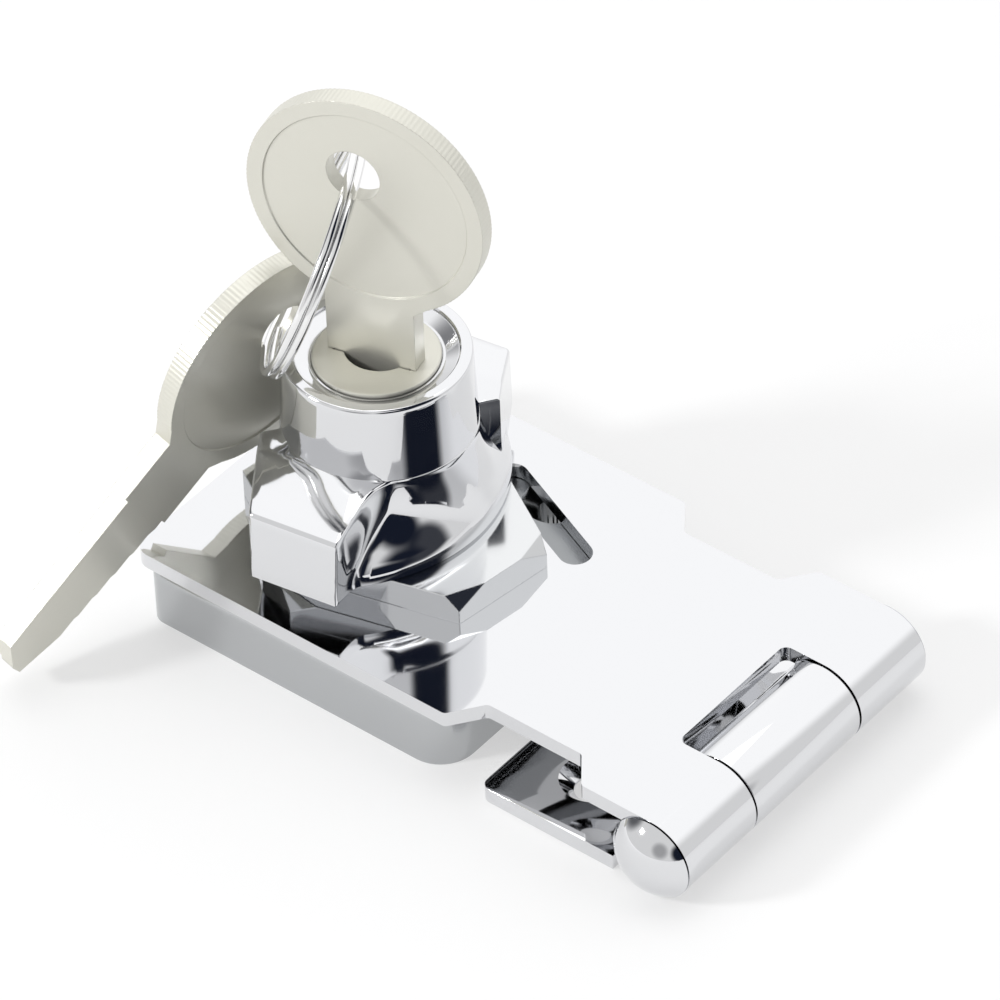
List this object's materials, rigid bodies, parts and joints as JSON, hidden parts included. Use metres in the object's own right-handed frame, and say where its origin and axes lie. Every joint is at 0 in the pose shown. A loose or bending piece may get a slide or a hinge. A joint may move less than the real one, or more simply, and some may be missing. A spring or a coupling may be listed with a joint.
{
  "type": "keyed hasp lock",
  "caption": "Hinged chrome hasp with a winged twist knob, a key-operated cylinder, a screwed strike box, and a split ring joining two keys.",
  "frame": {"origin": "on the knob's axis, on the face that the lock is screwed to", "axes": "+Z out of the mounting face along the knob's axis, +X along the leaf to the hinge"},
  "size_m": [0.0673, 0.0511, 0.0563],
  "materials": {
    "chrome": "polished",
    "nickel": "warm polished nickel plate",
    "ring_steel": "bright wire",
    "steel": "plain steel",
    "brass": "satin"
  },
  "bodies": {
    "base": {"strike_box": "chrome", "fixed_leaf": "chrome", "hinge_pin": "chrome"},
    "hasp": {"hasp_leaf": "chrome", "collar": "chrome"},
    "knob": {"knob_shell": "chrome", "lock_cylinder": "chrome", "plug_retainer": "steel", "circlip": "steel", "tongue": "steel", "tongue_washer": "steel", "tongue_screw": "steel"},
    "plug_body": {"plug": "nickel", "wafer_springs": "steel"},
    "wafer_a": {"wafer_1": "brass"},
    "wafer_b": {"wafer_2": "brass"},
    "wafer_c": {"wafer_3": "brass"},
    "wafer_d": {"wafer_4": "brass"},
    "wafer_e": {"wafer_5": "brass"},
    "pin_body": {"locking_pin": "steel", "pin_spring": "steel"},
    "key_body": {"key": "nickel"},
    "ring_body": {"key_ring": "ring_steel"},
    "spare_body": {"spare_key": "nickel"}
  },
  "joints": [
    {"name": "leaf_open", "type": "hinge", "parent": "base", "child": "hasp", "pos_m": [0.044, 0, 0.00415], "axis": [0, 1, 0], "range_deg": [0, 130]},
    {"name": "knob_twist", "type": "hinge", "parent": "hasp", "child": "knob", "pos_m": [0, 0, 0.01], "axis": [0, 0, -1], "range_deg": [0, 90]},
    {"name": "plug_turn", "type": "hinge", "parent": "knob", "child": "plug_body", "pos_m": [0, 0, 0.02], "axis": [0, 0, 1], "range_deg": [0, 36]},
    {"name": "pin_slide", "type": "slide", "parent": "knob", "child": "pin_body", "axis": [0.1564, -0.9877, 0], "range_m": [0, 0.0016]},
    {"name": "key_pull", "type": "slide", "parent": "plug_body", "child": "key_body", "axis": [0, 0, 1], "range_m": [0, 0.025]},
    {"name": "wafer_1_slide", "type": "slide", "parent": "plug_body", "child": "wafer_a", "axis": [-0.9703, -0.2419, 0], "range_m": [0, 0.0008]},
    {"name": "wafer_2_slide", "type": "slide", "parent": "plug_body", "child": "wafer_b", "axis": [-0.9703, -0.2419, 0], "range_m": [0, 0.0008]},
    {"name": "wafer_3_slide", "type": "slide", "parent": "plug_body", "child": "wafer_c", "axis": [-0.9703, -0.2419, 0], "range_m": [0, 0.0008]},
    {"name": "wafer_4_slide", "type": "slide", "parent": "plug_body", "child": "wafer_d", "axis": [-0.9703, -0.2419, 0], "range_m": [0, 0.0008]},
    {"name": "wafer_5_slide", "type": "slide", "parent": "plug_body", "child": "wafer_e", "axis": [-0.9703, -0.2419, 0], "range_m": [0, 0.0008]},
    {"name": "ring_swing", "type": "hinge", "parent": "key_body", "child": "ring_body", "pos_m": [-0.00097, -0.00024, 0.048], "axis": [-0.2419, 0.9703, 0], "range_deg": [0, 60]},
    {"name": "spare_swing", "type": "hinge", "parent": "ring_body", "child": "spare_body", "pos_m": [-0.01026, -0.00164, 0.02658], "axis": [-0.9773, 0.1244, 0.1715], "range_deg": [0, 40]}
  ],
  "couplings": [
    {"joint": "pin_slide", "follows": "plug_turn", "m_per_rad": 0.002546},
    {"joint": "wafer_1_slide", "follows": "key_pull", "ratio": 0.032},
    {"joint": "wafer_2_slide", "follows": "key_pull", "ratio": 0.032},
    {"joint": "wafer_3_slide", "follows": "key_pull", "ratio": 0.032},
    {"joint": "wafer_4_slide", "follows": "key_pull", "ratio": 0.032},
    {"joint": "wafer_5_slide", "follows": "key_pull", "ratio": 0.032}
  ]
}
